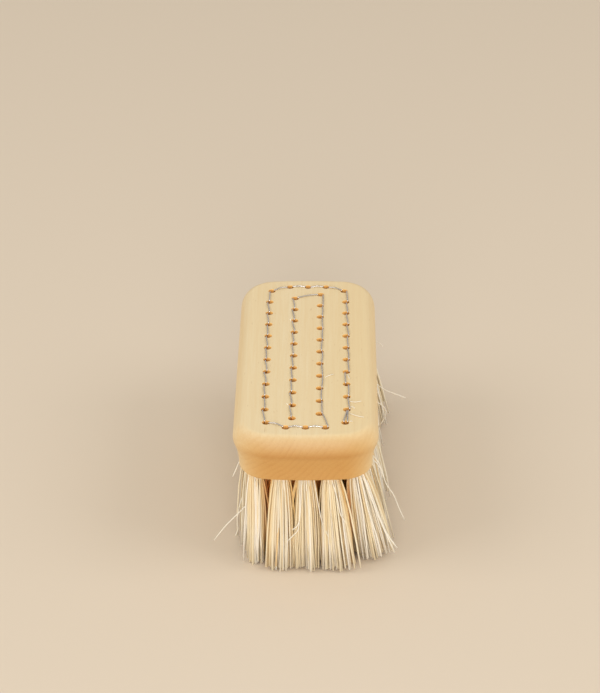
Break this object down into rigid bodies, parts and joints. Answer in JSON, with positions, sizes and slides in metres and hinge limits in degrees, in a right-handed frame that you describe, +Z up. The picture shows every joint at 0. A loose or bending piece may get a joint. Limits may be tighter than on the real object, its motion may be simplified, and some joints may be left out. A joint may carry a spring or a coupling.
{
  "type": "nail brush",
  "caption": "Wooden nail brush: rounded birch block with drawn-in sides, folded plant-fibre tufts in drilled holes, and one steel wire stitching them in along the back.",
  "frame": {"origin": "on the plane of the bristle tips, below the middle of the block", "axes": "+Z up from the bristle tips to the block's back, +Y along the block's length towards its far end, +X to the right seen from the front end"},
  "size_m": [0.0414, 0.096, 0.0439],
  "materials": {
    "oiled_birch": "oiled, fine straight grain",
    "tampico_fibre": "stiff undyed plant fibre",
    "steel_wire": "drawn wire, plain"
  },
  "bodies": {
    "root": {"birch_block": "oiled_birch", "drawing_wire": "steel_wire", "tuft_front_01": "tampico_fibre", "tuft_front_02": "tampico_fibre", "tuft_front_03": "tampico_fibre", "tuft_inner_1_01": "tampico_fibre", "tuft_inner_1_02": "tampico_fibre", "tuft_inner_1_03": "tampico_fibre", "tuft_inner_1_04": "tampico_fibre", "tuft_inner_1_05": "tampico_fibre", "tuft_inner_1_06": "tampico_fibre", "tuft_inner_1_07": "tampico_fibre", "tuft_inner_1_08": "tampico_fibre", "tuft_inner_1_09": "tampico_fibre", "tuft_inner_1_10": "tampico_fibre", "tuft_inner_1_11": "tampico_fibre", "tuft_inner_2_01": "tampico_fibre", "tuft_inner_2_02": "tampico_fibre", "tuft_inner_2_03": "tampico_fibre", "tuft_inner_2_04": "tampico_fibre", "tuft_inner_2_05": "tampico_fibre", "tuft_inner_2_06": "tampico_fibre", "tuft_inner_2_07": "tampico_fibre", "tuft_inner_2_08": "tampico_fibre", "tuft_inner_2_09": "tampico_fibre", "tuft_inner_2_10": "tampico_fibre", "tuft_inner_2_11": "tampico_fibre", "tuft_left_01": "tampico_fibre", "tuft_left_02": "tampico_fibre", "tuft_left_03": "tampico_fibre", "tuft_left_04": "tampico_fibre", "tuft_left_05": "tampico_fibre", "tuft_left_06": "tampico_fibre", "tuft_left_07": "tampico_fibre", "tuft_left_08": "tampico_fibre", "tuft_left_09": "tampico_fibre", "tuft_left_10": "tampico_fibre", "tuft_left_11": "tampico_fibre", "tuft_left_12": "tampico_fibre", "tuft_rear_01": "tampico_fibre", "tuft_rear_02": "tampico_fibre", "tuft_rear_03": "tampico_fibre", "tuft_right_01": "tampico_fibre", "tuft_right_02": "tampico_fibre", "tuft_right_03": "tampico_fibre", "tuft_right_04": "tampico_fibre", "tuft_right_05": "tampico_fibre", "tuft_right_06": "tampico_fibre", "tuft_right_07": "tampico_fibre", "tuft_right_08": "tampico_fibre", "tuft_right_09": "tampico_fibre", "tuft_right_10": "tampico_fibre", "tuft_right_11": "tampico_fibre", "tuft_right_12": "tampico_fibre"}
  },
  "joints": []
}
